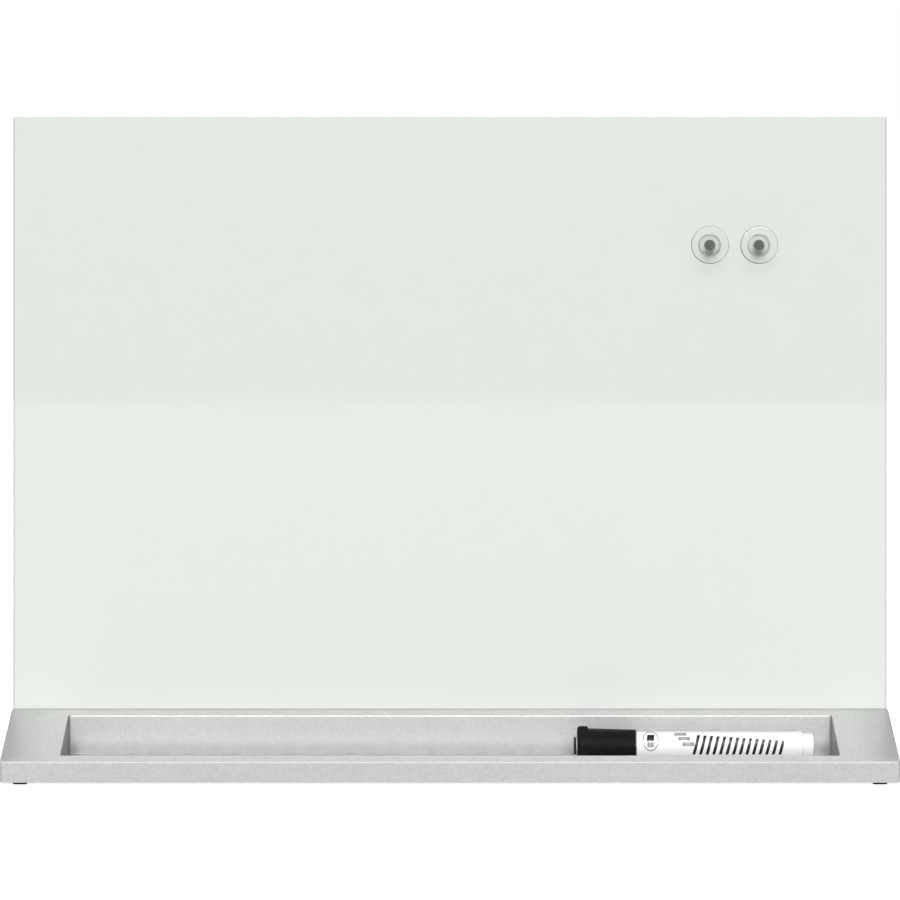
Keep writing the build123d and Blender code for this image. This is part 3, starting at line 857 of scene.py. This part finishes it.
SETTINGS = {
    "easel_base": BaseSettings,
    "easel_panel": PanelSettings,
    "easel_magnets": MagnetSettings,
    "easel_marker": MarkerSettings,
    "easel_stage": StageSettings,
}


# ---- Base ----


def screw_grid(settings, foot, height, head_radius, segments=64, rings=30):
    """Grid over a countersunk screw from its point down to its cross-recessed head.

    The recess is a cross: its depth is full where a place lies within either arm's half width
    and reach, and falls off over short slanted flanks. The normals come from its slope.
    """
    shank_rounding, head_rounding, flank = 0.1 * MM, 0.08 * MM, 0.4
    face_radius = 0.9 * head_radius
    section = rounded(
        [
            (-height, 0, 0),
            (settings.screw_point - height, settings.shank_radius, shank_rounding),
            (settings.shank_radius - head_radius, settings.shank_radius, shank_rounding),
            (0, head_radius, head_rounding),
            (0, face_radius, 0),
        ],
        steps=5,
    )
    grid, normals = turned(section, foot, -UP, RIGHT, segments)
    ring = np.linspace(face_radius, 0, rings)[:, None]
    angle = np.linspace(0, 2 * np.pi, segments + 1)[None, :]
    x, y = ring * np.cos(angle), -ring * np.sin(angle)

    def recess(x, y):
        """Depth of the cross at a place."""
        near, far = np.minimum(abs(x), abs(y)), np.maximum(abs(x), abs(y))
        within = (1 + flank) * settings.recess_width - near
        arm = np.clip(within / (flank * settings.recess_width), 0, 1)
        reach = np.clip((settings.recess_reach - far) / (flank * settings.recess_reach), 0, 1)
        return settings.recess_depth * arm * reach

    step = 0.01 * MM
    face = np.stack([foot[0] + x, foot[1] + y, foot[2] + recess(x, y)], axis=-1)
    slope_x = (recess(x + step, y) - recess(x - step, y)) / (2 * step)
    slope_y = (recess(x, y + step) - recess(x, y - step)) / (2 * step)
    face_normals = np.stack([slope_x, slope_y, -np.ones_like(x)], axis=-1)
    face_normals /= np.linalg.norm(face_normals, axis=-1, keepdims=True)
    return np.concatenate([grid, face]), np.concatenate([normals, face_normals])


def screw_points():
    """The packed screws' points, which lie on their axes."""
    points = vertices_of("plate_screws")
    tips = points[points[:, 2] > points[:, 2].max() - 0.01 * MM]
    return np.unique(np.round(tips, decimals=6), axis=0)


class EASEL_OT_finish_base(bpy.types.Operator):
    """Paints the shell and finishes the plate, gasket and feet"""

    bl_idname = "easel.finish_base"
    bl_label = "Finish Base"

    def execute(self, context):
        settings = context.scene.easel_base
        enamel = plain_finish(
            "plate_enamel", settings.plate_colour, 0.45, grain=0.6 * MM, depth=0.01 * MM, dust=0.1
        )
        rubber = plain_finish(
            "foot_rubber", settings.rubber_colour, 0.75, grain=0.3 * MM, depth=0.02 * MM, dust=0.04
        )
        gasket = plain_finish(
            "gasket", settings.gasket_colour, 0.7, grain=0.4 * MM, depth=0.01 * MM
        )
        dress(silver_paint(settings), "base_shell")
        dress(enamel, "base_plate")
        dress(rubber, *(node for node in frame["nodes"] if node.startswith("foot_")))
        dress(gasket, "panel_gasket")
        return {"FINISHED"}


class EASEL_OT_build_screws(bpy.types.Operator):
    """Builds the plate's cross-recessed screws"""

    bl_idname = "easel.build_screws"
    bl_label = "Build Screws"

    def execute(self, context):
        settings = context.scene.easel_base
        low, high = span("plate_screws", UP)
        points = screw_points()
        head_radius = points[:, 0].min() - span("plate_screws", RIGHT)[0]
        screws = [
            screw_grid(settings, np.array((*point[:2], low)), high - low, head_radius)
            for point in points
        ]
        grid, normals = (np.stack(parts) for parts in zip(*screws))
        steel = bare_metal("plated_screw", settings.screw_colour, roughness=0.3, grain=0.6 * MM)
        mesh = mesh_of("cross_screws", grid, normals)
        add_piece("cross_screws", mesh, steel, "stand", ["plate_screws"])
        return {"FINISHED"}


# ---- Panel ----


class EASEL_OT_finish_panel(bpy.types.Operator):
    """Finishes the glass, the steel sheet behind it and the tape between them"""

    bl_idname = "easel.finish_panel"
    bl_label = "Finish Panel"

    def execute(self, context):
        settings = context.scene.easel_panel
        coat = plain_finish(
            "powder_coat", settings.back_colour, 0.55,
            grain=0.6 * MM, depth=0.02 * MM, variation=0.06, dust=0.05,
        )
        tape = plain_finish("foam_tape", settings.tape_colour, 0.9, grain=0.3 * MM, depth=0.03 * MM)
        dress(backed_glass(settings), "glass_sheet")
        dress(coat, "steel_sheet")
        dress(tape, "bonding_tape")
        return {"FINISHED"}


# ---- Magnets ----


def knob_section(settings, height, flange_radius, core_radius, core_height):
    """Section of a knob: magnet pocket, foot, stem, cove, rounded flange and face, from the pocket
    round to the middle of the face. The place along the axis is the height off the glass."""
    pocket_radius = core_radius + settings.core_clearance
    pocket_height = core_height + settings.core_clearance
    rim, fine = settings.rim_rounding, settings.fine_rounding
    under = height - settings.flange_thickness
    return rounded(
        [
            (pocket_height, 0, 0),
            (pocket_height, pocket_radius, fine),
            (0, pocket_radius, fine),
            (0, settings.stem_radius, 2 * fine),
            (under, settings.stem_radius, settings.cove_radius),
            (under, flange_radius, rim),
            (height, flange_radius, rim),
            (height, 0, 0),
        ]
    )


class EASEL_OT_build_magnets(bpy.types.Operator):
    """Turns the clear knobs and finishes the magnets in them"""

    bl_idname = "easel.build_magnets"
    bl_label = "Build Magnets"

    def execute(self, context):
        settings = context.scene.easel_magnets
        acrylic, plating = clear_acrylic(settings), plated_core(settings)
        for body in ("magnet_left", "magnet_right"):
            knob, core = f"{body}_knob", f"{body}_core"
            foot_height, top_height = span(knob, PANEL_NORMAL)
            centre = middle(core)
            foot = centre + (foot_height - centre @ PANEL_NORMAL) * PANEL_NORMAL
            section = knob_section(
                settings,
                height=top_height - foot_height,
                flange_radius=half_size(knob, RIGHT),
                core_radius=half_size(core, RIGHT),
                core_height=2 * half_size(core, PANEL_NORMAL),
            )
            mesh = mesh_of(f"{body}_clear_knob", *turned(section, foot, PANEL_NORMAL, RIGHT))
            add_piece(f"{body}_clear_knob", mesh, acrylic, body, [knob])
            dress(plating, core)
        return {"FINISHED"}


# ---- Marker ----


def marker_axis():
    """The point of the marker's axis midway between the easel's sides."""
    return middle("marker_barrel") * (0, 1, 1)


def barrel_shoulder(settings):
    """Place of the barrel's shoulder, just right of the cap's mouth."""
    return span("marker_cap", RIGHT)[1] + settings.cap_clearance


def barrel_section(settings):
    """Section of the barrel: skin, tail, bore, nib collar's bore, nose and shoulder, and back."""
    left, right = span("marker_barrel", RIGHT)
    radius = half_size("marker_barrel", UP)
    bore = radius - settings.barrel_wall
    collar_bore = half_size("marker_nib_collar", UP) + settings.inner_clearance
    shoulder = barrel_shoulder(settings)
    inner_end = span("marker_reservoir", RIGHT)[0]
    fine = settings.fine_rounding
    skin = ((shoulder + right) / 2, radius, 0)
    return rounded(
        [
            skin,
            (right, radius, settings.end_rounding),
            (right, bore, fine),
            (inner_end, bore, fine),
            (inner_end, collar_bore, fine),
            (left, collar_bore, fine),
            (left, settings.nose_radius - settings.nose_taper, settings.end_rounding),
            (shoulder, settings.nose_radius, fine),
            (shoulder, radius, settings.shoulder_rounding),
            skin,
        ]
    )


def plug_section(settings):
    """Section of the end plug: spigot inside the barrel, seat on its end, rim and dished end."""
    left, right = span("marker_end_plug", RIGHT)
    radius = half_size("marker_end_plug", UP)
    dish_mouth, dish_floor = 0.62 * radius, 0.55 * radius
    seat = span("marker_barrel", RIGHT)[1]
    spigot = half_size("marker_barrel", UP) - settings.barrel_wall - settings.inner_clearance
    fine = settings.fine_rounding
    return rounded(
        [
            (left, 0, 0),
            (left, spigot, settings.end_rounding),
            (seat, spigot, fine),
            (seat, radius, fine),
            (right, radius, settings.plug_rounding),
            (right, dish_mouth, fine),
            (right - settings.dish_depth, dish_floor, fine),
            (right - settings.dish_depth, 0, 0),
        ]
    )


def cap_section(settings):
    """Section of the cap: button, groove, flange, body, mouth and bore."""
    left, mouth = span("marker_cap", RIGHT)
    liner_left, step = span("marker_cap_liner", RIGHT)
    liner_radius = half_size("marker_cap_liner", UP) + settings.inner_clearance
    bore = settings.nose_radius + settings.cap_clearance
    groove = left + settings.button_thickness
    body = groove + settings.groove_width
    flange_end = left + settings.flange_end
    start = body + settings.flange_rounding
    drop = (settings.wide_radius - settings.mouth_radius) * (flange_end - start) / (mouth - start)
    outer_rounding, inner_rounding = 0.6 * drop, 0.3 * drop
    fine = settings.fine_rounding
    return rounded(
        [
            (left, 0, 0),
            (left, settings.button_radius, settings.button_rounding),
            (groove, settings.button_radius, fine),
            (groove, settings.groove_radius, fine),
            (body, settings.groove_radius, fine),
            (body, settings.wide_radius, settings.flange_rounding),
            (flange_end, settings.wide_radius, outer_rounding),
            (flange_end, settings.wide_radius - drop, inner_rounding),
            (mouth, settings.mouth_radius, settings.mouth_rounding),
            (mouth, bore, fine),
            (step, bore, fine),
            (step, liner_radius, fine),
            (liner_left, liner_radius, fine),
            (liner_left, 0, 0),
        ]
    )


def lobed_outline(settings):
    """Outline of the cap's flange: the hull of a large circle and three equal lobes.

    Where the round part has drawn in, the lobes draw in as much, so every row is an inward
    offset of the widest. Within a lobe's reach the radius is the lobe's circle, then the
    straight tangent, then the round part. Only the rows of the flange's two corners, which
    are the fifth and sixth of the cap's section, are lobed.
    """
    pitch = 2 * np.pi / settings.lobe_count
    centre = settings.lobe_reach - settings.lobe_radius
    tangent = np.arccos((settings.wide_radius - settings.lobe_radius) / centre)
    rows = slice(1 + 4 * ARC_STEPS, 1 + 6 * ARC_STEPS)

    def outline(radius, angle):
        """Radius and lean of each row and column."""
        off = (angle + pitch / 2) % pitch - pitch / 2
        reach, lean = radius.copy(), np.zeros_like(radius)
        lobe = settings.lobe_radius - (settings.wide_radius - radius[rows])
        lobe_end = np.arctan2(lobe * np.sin(tangent), centre + lobe * np.cos(tangent))
        root = np.sqrt(np.maximum(lobe**2 - (centre * np.sin(off)) ** 2, 0))
        on_lobe = centre * np.cos(off) + root
        on_tangent = radius[rows] / np.cos(np.abs(off) - tangent)
        lean_lobe = np.arctan2(on_lobe * np.sin(off), on_lobe * np.cos(off) - centre) - off
        lean_tangent = np.sign(off) * tangent - off
        on_round, beside = np.abs(off) >= tangent, np.abs(off) >= lobe_end
        reach[rows] = np.where(on_round, radius[rows], np.where(beside, on_tangent, on_lobe))
        lean[rows] = np.where(on_round, 0.0, np.where(beside, lean_tangent, lean_lobe))
        return reach, lean

    return outline


def add_ink(settings, name, material, along, height):
    """Adds ink as a piece with a real thickness, wrapped round the barrel.

    A point's place along the barrel is kept, and its height below the print's middle becomes a
    turn, the height over the barrel's radius.
    """
    radius = half_size("marker_barrel", UP)
    turn = height / radius + settings.print_turn
    spoke = np.cos(turn)[..., None] * UP - np.sin(turn)[..., None] * np.cross(UP, RIGHT)
    out = (radius + settings.print_lift) * spoke
    mesh = mesh_of(name, marker_axis() + along[..., None] * RIGHT + out, spoke)
    piece = add_piece(name, mesh, material, "marker")
    layer = piece.modifiers.new("ink_layer", "SOLIDIFY")
    layer.thickness, layer.offset, layer.use_rim = settings.print_thickness, -1.0, True


def bars(lefts, tops, bottoms, width, slant=0.0, columns=4, rows=14):
    """Bars, one or a row of them: each point lies between its bar's ends and sides, and leans with
    its height. Returns places along and heights for every bar, row and column."""
    down = np.linspace(0, 1, rows)[None, :, None]
    side = np.linspace(0, 1, columns)[None, None, ::-1]
    lefts, tops, bottoms = (np.asarray(part)[..., None, None] for part in (lefts, tops, bottoms))
    height = tops + (bottoms - tops) * down + 0 * side
    return lefts + width * side - slant * height, height


def oval_ring(centre, half_length, half_height, hollow, columns=73, rows=3):
    """Oval ring: each point lies at a turn round the oval, between its edge and its hollow's.
    Returns places along and heights for every row and column."""
    turn = np.linspace(0, 2 * np.pi, columns)[None, :]
    reach = np.linspace(1.0, hollow, rows)[:, None]
    return centre + half_length * reach * np.cos(turn), -half_height * reach * np.sin(turn)


class EASEL_OT_build_marker(bpy.types.Operator):
    """Turns the marker's barrel and end plug and finishes its nib, collar and reservoir"""

    bl_idname = "easel.build_marker"
    bl_label = "Build Marker"

    def execute(self, context):
        settings = context.scene.easel_marker
        # The white plastic darkens towards the barrel's limbs as painted shade.
        white = plain_finish(
            "white_plastic", settings.barrel_colour, 0.2,
            grain=1.2 * MM, depth=0.002 * MM, variation=0.02, painted_limb_shade=0.75, IOR=1.5,
        )
        for name, section, node in (
            ("barrel_tube", barrel_section(settings), "marker_barrel"),
            ("tail_plug", plug_section(settings), "marker_end_plug"),
        ):
            mesh = mesh_of(name, *turned(section, marker_axis(), RIGHT, UP))
            add_piece(name, mesh, white, "marker", [node])
        dress(white, "marker_nib_collar")
        dress(fibre("ink_fibre", settings.reservoir_colour), "marker_reservoir")
        dress(fibre("nib_felt", settings.nib_colour), "marker_nib")
        return {"FINISHED"}


class EASEL_OT_print_marker(bpy.types.Operator):
    """Prints the barrel with an oval nib sign, three pale bars and a row of slanting stripes"""

    bl_idname = "easel.print_marker"
    bl_label = "Print Marker"

    def execute(self, context):
        settings = context.scene.easel_marker
        dark, pale = (
            plain_finish(name, colour, 0.4, grain=0.4 * MM, depth=0.001 * MM, variation=variation)
            for name, colour, variation in (
                ("dark_ink", settings.print_colour, 0.3),
                ("pale_ink", settings.pale_print_colour, 0.1),
            )
        )
        shoulder = barrel_shoulder(settings)
        sign, bars_start, stripes_start = (shoulder + off * MM for off in (7.2, 19.5, 30.5))
        ring = oval_ring(sign, half_length=4.0 * MM, half_height=5.6 * MM, hollow=0.93)
        tip = bars(
            lefts=sign - 2.0 * MM, tops=-3.2 * MM, bottoms=0.4 * MM, width=3.6 * MM, slant=0.12
        )
        body = bars(lefts=sign - 1.7 * MM, tops=0.9 * MM, bottoms=3.6 * MM, width=3.2 * MM)
        step, bar_height = np.arange(3), 2.0 * MM
        top = (2.8 * step - 4.6) * MM
        pale_bars = bars(
            lefts=bars_start + 2.0 * MM * step, tops=top, bottoms=top + bar_height, width=6.0 * MM
        )
        index = np.arange(settings.stripe_count)
        share = index / max(settings.stripe_count - 1, 1)
        stripes = bars(
            lefts=stripes_start + settings.stripe_pitch * index,
            tops=(-3.0 + 3.4 * share) * MM,
            bottoms=7.6 * MM,
            width=1.5 * MM,
            slant=0.25,
        )
        for name, ink, patch in (
            ("sign_ring", dark, ring),
            ("sign_tip", dark, tip),
            ("sign_body", pale, body),
            ("pale_bars", pale, pale_bars),
            ("stripes", dark, stripes),
        ):
            add_ink(settings, name, ink, *patch)
        return {"FINISHED"}


class EASEL_OT_build_cap(bpy.types.Operator):
    """Shapes the lobed cap and finishes its liner"""

    bl_idname = "easel.build_cap"
    bl_label = "Build Cap"

    def execute(self, context):
        settings = context.scene.easel_marker
        black = plain_finish(
            "cap_plastic", settings.cap_colour, 0.5,
            grain=0.5 * MM, depth=0.006 * MM, variation=0.2, dust=0.03, Specular_IOR_Level=0.05,
        )
        # Painted highlight: a pale line round the cap's end step.
        add_painted_line(black, settings.painted_line_colour, settings.line_place, settings.line_width)
        grid = turned(
            cap_section(settings), marker_axis(), RIGHT, UP,
            segments=180, outline=lobed_outline(settings),
        )
        mesh = mesh_of("lobed_cap", *grid)
        add_piece("lobed_cap", mesh, black, "marker_cap", ["marker_cap"])
        liner = plain_finish(
            "liner_plastic", settings.liner_colour, 0.4,
            grain=0.8 * MM, depth=0.004 * MM, variation=0.05,
        )
        dress(liner, "marker_cap_liner")
        return {"FINISHED"}


# ---- Stage ----


def softbox(name, place, size, power, gloss):
    """Rectangular area lamp turned to face the lamps' shared aim."""
    lamp = bpy.data.lights.new(name, "AREA")
    lamp.shape, lamp.size, lamp.size_y, lamp.energy = "RECTANGLE", *size, power
    holder = bpy.data.objects.new(name, lamp)
    back = np.asarray(place, float) - LAMP_AIM
    back /= np.linalg.norm(back)
    side = np.cross(UP, back)
    side /= np.linalg.norm(side)
    turn = np.stack([side, np.cross(back, side), back], axis=1)
    holder.matrix_world = Matrix.Translation(place) @ Matrix(turn.tolist()).to_4x4()
    holder.visible_camera = False
    holder.visible_transmission = False
    holder.visible_glossy = gloss
    bpy.context.scene.collection.objects.link(holder)


def eye_rays(tree):
    """One for rays that show the background, straight or through clear pieces, and nought for
    the rays that carry light from surface to surface."""
    rays = add_node(tree, "ShaderNodeLightPath").outputs
    first = calculate(tree, "LESS_THAN", rays["Diffuse Depth"], 0.5)
    through = product(tree, rays["Is Transmission Ray"], first)
    return largest(tree, rays["Is Camera Ray"], through)


class EASEL_OT_build_stage(bpy.types.Operator):
    """Lays the floor and sets the surroundings, lamps and camera"""

    bl_idname = "easel.build_stage"
    bl_label = "Build Stage"

    def execute(self, context):
        settings = context.scene.easel_stage
        self.lay_floor(settings)
        self.set_surroundings(settings)
        for name, place, size, power, gloss in (
            ("front_softbox", (0.0, -5.6, 4.15), (4.2, 3.2), settings.key_power, True),
            ("top_softbox", (0.0, -0.3, 3.2), (3.0, 2.0), settings.top_power, True),
            ("rear_softbox", (0.0, 2.2, 3.2), (3.0, 1.6), settings.rear_power, False),
        ):
            softbox(name, place, size, power, gloss)
        self.place_camera(settings)
        context.scene.view_settings.view_transform = "Standard"
        return {"FINISHED"}

    def lay_floor(self, settings, rings=12, segments=64):
        """Pale floor: a disc of rings whose radii grow as the square of their share, lifted to
        white only for rays that show the background."""
        gap = 0.02 * MM
        ring = np.linspace(1, 0, rings)[:, None] ** 2 * settings.floor_radius
        angle = np.linspace(0, 2 * np.pi, segments + 1)[None, :]
        level = np.full_like(ring * angle, -gap)
        grid = np.stack([ring * np.cos(angle), ring * np.sin(angle), level], -1)
        mesh = mesh_of("desk", grid, np.broadcast_to(UP, grid.shape))
        material, tree, shader, place = start_material(
            "pale_desk", settings.floor_colour, roughness=0.7, IOR=1.3
        )
        mask = shared(tree, fine_grain, Place=place, Size=3 * MM)["Mask"]
        dark, light = (tint(settings.floor_colour, strength) for strength in (0.975, 1.025))
        feed(tree, blend_colours(tree, mask, dark, light), shader.inputs["Base Color"])
        shader.inputs["Emission Color"].default_value = WHITE
        glow = product(tree, eye_rays(tree), settings.floor_glow)
        feed(tree, glow, shader.inputs["Emission Strength"])
        mesh.materials.append(material)
        desk = bpy.data.objects.new("desk", mesh)
        bpy.context.scene.collection.objects.link(desk)

    def set_surroundings(self, settings):
        """White for the eye; for gloss, a bright band at the horizon under a dimmer room; for other
        light, the dimmer room alone.

        The band's edge is where a direction's rise over its run from front to rear passes the
        set slope, so its mirror image in the panel is a straight level line.
        """
        soft, least_run = 0.001, 0.01
        world = bpy.data.worlds.new("studio")
        world.use_nodes = True
        tree = world.node_tree
        shader = find_node(tree, "BACKGROUND")
        direction = add_node(tree, "ShaderNodeTexCoord").outputs["Generated"]
        part = coordinates(tree, direction)
        run = largest(tree, calculate(tree, "ABSOLUTE", part["Y"]), least_run)
        slope = calculate(tree, "DIVIDE", part["Z"], run)
        edge = settings.edge_slope
        level = ramp(tree, slope, edge - soft, edge + soft, settings.low_light, settings.high_light)
        strength = settings.room_light
        mirrored = add_node(tree, "ShaderNodeLightPath").outputs["Is Glossy Ray"]
        for rays, light in ((mirrored, level), (eye_rays(tree), 1.0)):
            sides = {"Factor": rays, 2: strength, 3: light}
            strength = add_node(tree, "ShaderNodeMix", sides, data_type="FLOAT").outputs[0]
        feed(tree, strength, shader.inputs["Strength"])
        shader.inputs["Color"].default_value = WHITE
        bpy.context.scene.world = world

    def place_camera(self, settings):
        """Camera square to the panel, facing a point up the middle of its glass."""
        face = span("glass_sheet", PANEL_NORMAL)[1]
        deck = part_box("base_shell")[1].z
        foot_up = (deck - face * PANEL_NORMAL[2]) / PANEL_UP[2]
        aim = face * PANEL_NORMAL + (foot_up + settings.aim_height) * PANEL_UP
        lens = bpy.data.cameras.new("eye")
        lens.sensor_width, lens.lens = 36.0, settings.lens
        lens.clip_start, lens.clip_end = 0.05, 50.0
        camera = bpy.data.objects.new("eye", lens)
        turn = Matrix(np.stack([RIGHT, PANEL_UP, PANEL_NORMAL], axis=1).tolist()).to_4x4()
        camera.matrix_world = Matrix.Translation(aim + settings.distance * PANEL_NORMAL) @ turn
        bpy.context.scene.collection.objects.link(camera)
        bpy.context.scene.camera = camera


# ---- Add-on ----


OPERATORS = (
    EASEL_OT_finish_base,
    EASEL_OT_build_screws,
    EASEL_OT_finish_panel,
    EASEL_OT_build_magnets,
    EASEL_OT_build_marker,
    EASEL_OT_print_marker,
    EASEL_OT_build_cap,
    EASEL_OT_build_stage,
)


class EASEL_PT_pieces(bpy.types.Panel):
    """Pieces of the easel and their settings"""

    bl_label = "Glass Desk Easel"
    bl_space_type = "VIEW_3D"
    bl_region_type = "UI"
    bl_category = "Easel"

    def draw(self, context):
        for operator in OPERATORS:
            self.layout.operator(operator.bl_idname)
        for name, group in SETTINGS.items():
            box = self.layout.box()
            box.label(text=group.__doc__)
            for key in group.__annotations__:
                box.prop(getattr(context.scene, name), key)


def register():
    """Registers the settings, operators and panel."""
    for name, group in SETTINGS.items():
        bpy.utils.register_class(group)
        setattr(bpy.types.Scene, name, PointerProperty(type=group))
    for entry in (*OPERATORS, EASEL_PT_pieces):
        bpy.utils.register_class(entry)


def unregister():
    """Takes them out again."""
    for entry in reversed((*OPERATORS, EASEL_PT_pieces)):
        bpy.utils.unregister_class(entry)
    for name, group in reversed(SETTINGS.items()):
        delattr(bpy.types.Scene, name)
        bpy.utils.unregister_class(group)


def main():
    """Registers everything and builds each group of pieces in order."""
    register()
    for operator in OPERATORS:
        group, name = operator.bl_idname.split(".")
        getattr(getattr(bpy.ops, group), name)()


if __name__ == "__main__":
    main()
